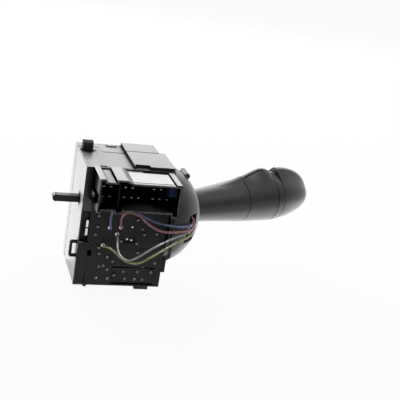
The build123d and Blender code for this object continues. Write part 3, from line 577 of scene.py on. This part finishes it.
def tube_mesh(name, line, radius, sides):
    """A round tube of quads along a line, closed at both ends."""
    mesh = bpy.data.meshes.new(name)
    build = bmesh.new()
    last = len(line) - 1
    tangents = [(line[min(i + 1, last)] - line[max(i - 1, 0)]).normalized() for i in range(last + 1)]
    side = tangents[0].orthogonal().normalized()
    rings = []
    for place, tangent in zip(line, tangents):
        side = (side - tangent * side.dot(tangent)).normalized()
        other = tangent.cross(side)
        turns = [2 * math.pi * k / sides for k in range(sides)]
        spokes = [side * math.cos(turn) + other * math.sin(turn) for turn in turns]
        rings.append([build.verts.new(place + spoke * radius) for spoke in spokes])
    for first, second in zip(rings, rings[1:]):
        for k in range(sides):
            build.faces.new((first[k], first[(k + 1) % sides], second[(k + 1) % sides], second[k]))
    build.faces.new(reversed(rings[0]))
    build.faces.new(rings[-1])
    build.to_mesh(mesh)
    build.free()
    for face in mesh.polygons:
        face.use_smooth = len(face.vertices) == 4
    return mesh


def wire_piece(name, line, material):
    """One stretch of a jumper wire, a tube along its line."""
    piece = bpy.data.objects.new(name, tube_mesh(name, line, WIRE_DIAMETER / 2 * MM, WIRE_SIDES))
    bpy.context.scene.collection.objects.link(piece)
    piece.data.materials.append(material)
    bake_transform(piece)
    return piece


def make_wires():
    """The four jumper wires, each in two stretches that meet between the housing and the dome."""
    colours = {
        "blue": ((0.10, 0.115, 0.27), (0.22, 0.24, 0.45)),
        "red": ((0.24, 0.09, 0.10), (0.40, 0.19, 0.20)),
        "grey": ((0.27, 0.275, 0.265), (0.46, 0.465, 0.45)),
        "yellow": ((0.24, 0.25, 0.08), (0.46, 0.47, 0.22)),
    }
    for colour, points in WIRE_ROUTES.items():
        line = route_line(colour + "_route", points)
        split = next(i for i, place in enumerate(line) if place.x > WIRE_SPLIT_X * MM)
        material = insulation(colour + "_insulation", *colours[colour])
        slot = "wire_" + colour
        near = wire_piece(colour + "_wire_near", line[:split + 1], material)
        wire_piece(colour + "_wire_far", line[split:], material)
        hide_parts(slot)


def make_springs():
    """Copies of the springs behind the plungers and balls, shown in place of the CAD nodes."""
    for name, (holder, pushed) in SPRING_ENDS.items():
        node = nodes[name]
        spring = bpy.data.objects.new(name + "_coil", node.data.copy())
        spring.matrix_world = node.matrix_world
        bpy.context.scene.collection.objects.link(spring)
        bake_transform(spring)
        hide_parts(name)


# ---- light, floor and background ----
def area_light(name, place, aim, size, radiance, gloss_only=False):
    """A soft rectangular light whose face has the given brightness."""
    data = bpy.data.lights.new(name, "AREA")
    data.shape = "RECTANGLE"
    data.size, data.size_y = size
    data.energy = radiance * math.pi * size[0] * size[1]
    lamp = bpy.data.objects.new(name, data)
    place, aim = Vector(place), Vector(aim)
    turn = (aim - place).to_track_quat("-Z", "Y").to_matrix().to_4x4()
    lamp.matrix_world = Matrix.Translation(place) @ turn
    lamp.visible_camera = False
    lamp.visible_diffuse = not gloss_only
    bpy.context.scene.collection.objects.link(lamp)


def direct_rays(tree):
    """1 for rays from the camera and for reflected and refracted ones, 0 for diffuse light."""
    rays = tree.nodes.new("ShaderNodeLightPath").outputs
    either = combine(tree, "MAXIMUM", rays["Is Camera Ray"], rays["Is Glossy Ray"])
    return combine(tree, "MAXIMUM", either, rays["Is Transmission Ray"])


def make_world():
    """White to the camera; a studio that is white behind the object and darker in front of it."""
    world = bpy.data.worlds.new("studio")
    world.use_nodes = True
    tree = world.node_tree
    background = tree.nodes["Background"]
    background.inputs["Color"].default_value = (1, 1, 1, 1)
    direction = tree.nodes.new("ShaderNodeSeparateXYZ")
    tree.links.new(tree.nodes.new("ShaderNodeTexCoord").outputs["Generated"], direction.inputs[0])
    shade = ramp(tree, direction.outputs["Y"], -0.5, 0.4, FRONT_SHADE, 1.0)
    studio = times(tree, shade, ramp(tree, direct_rays(tree), 0, 1, WORLD_STRENGTH, 1.0))
    to_camera = tree.nodes.new("ShaderNodeLightPath").outputs["Is Camera Ray"]
    tree.links.new(combine(tree, "MAXIMUM", studio, to_camera), background.inputs["Strength"])
    bpy.context.scene.world = world


def make_floor():
    """A wide pale floor just under the object, which is white to the camera and keeps the shadow."""
    low = cad_box[0][2] - FLOOR_DROP * MM
    mesh = bpy.data.meshes.new("floor")
    build = bmesh.new()
    corners = [(-1, -1), (1, -1), (1, 1), (-1, 1)]
    build.faces.new([build.verts.new((x * FLOOR_HALF, y * FLOOR_HALF, low)) for x, y in corners])
    build.to_mesh(mesh)
    build.free()
    floor = bpy.data.objects.new("floor", mesh)
    bpy.context.scene.collection.objects.link(floor)
    material, tree, shader = new_material("floor_paint")
    tone = ramp(tree, noise(tree, 6, 4), 0.3, 0.7, 0, 1)
    paint = mix_colour(tree, tone, (0.86, 0.86, 0.86), (0.88, 0.88, 0.88))
    tree.links.new(paint, shader.inputs["Base Color"])
    shader.inputs["Roughness"].default_value = 0.8
    shader.inputs["Specular IOR Level"].default_value = 0.1
    glow = tree.nodes.new("ShaderNodeEmission")
    blend = tree.nodes.new("ShaderNodeMixShader")
    tree.links.new(ramp(tree, direct_rays(tree), 0, 1, 0, FLOOR_GLOW), blend.inputs["Fac"])
    tree.links.new(shader.outputs[0], blend.inputs[1])
    tree.links.new(glow.outputs[0], blend.inputs[2])
    tree.links.new(blend.outputs[0], tree.nodes["Material Output"].inputs["Surface"])
    mesh.materials.append(material)


def make_lights():
    """Large soft lights behind, to the left and above, and gloss from a spark and the bright floor."""
    area_light("rear_light", (0.1, 0.9, 0.55), (0.02, 0, 0), (1.6, 0.8), REAR_LIGHT)
    area_light("left_light", (-0.55, 1.0, 0.3), (0, 0, 0), (0.8, 0.5), LEFT_LIGHT)
    area_light("key_light", (0.3, -0.7, 0.8), (0.03, -0.03, 0), (0.5, 0.5), KEY_LIGHT)
    area_light("spark_light", (0.02, -0.55, 0.75), (0, -0.04, 0), (0.12, 0.12), SPARK_LIGHT,
               gloss_only=True)
    area_light("under_light", (0.13, 0.01, -0.040), (0.13, 0.011, 1), (0.22, 0.1), UNDER_LIGHT,
               gloss_only=True)
    area_light("back_floor_light", (-0.10, 0.12, -0.040), (-0.10, 0.121, 1), (0.14, 0.26),
               BACK_FLOOR_LIGHT, gloss_only=True)


make_camera()
make_wires()
make_finishes()
make_springs()
make_world()
make_floor()
make_lights()
bpy.context.scene.view_settings.view_transform = "Standard"
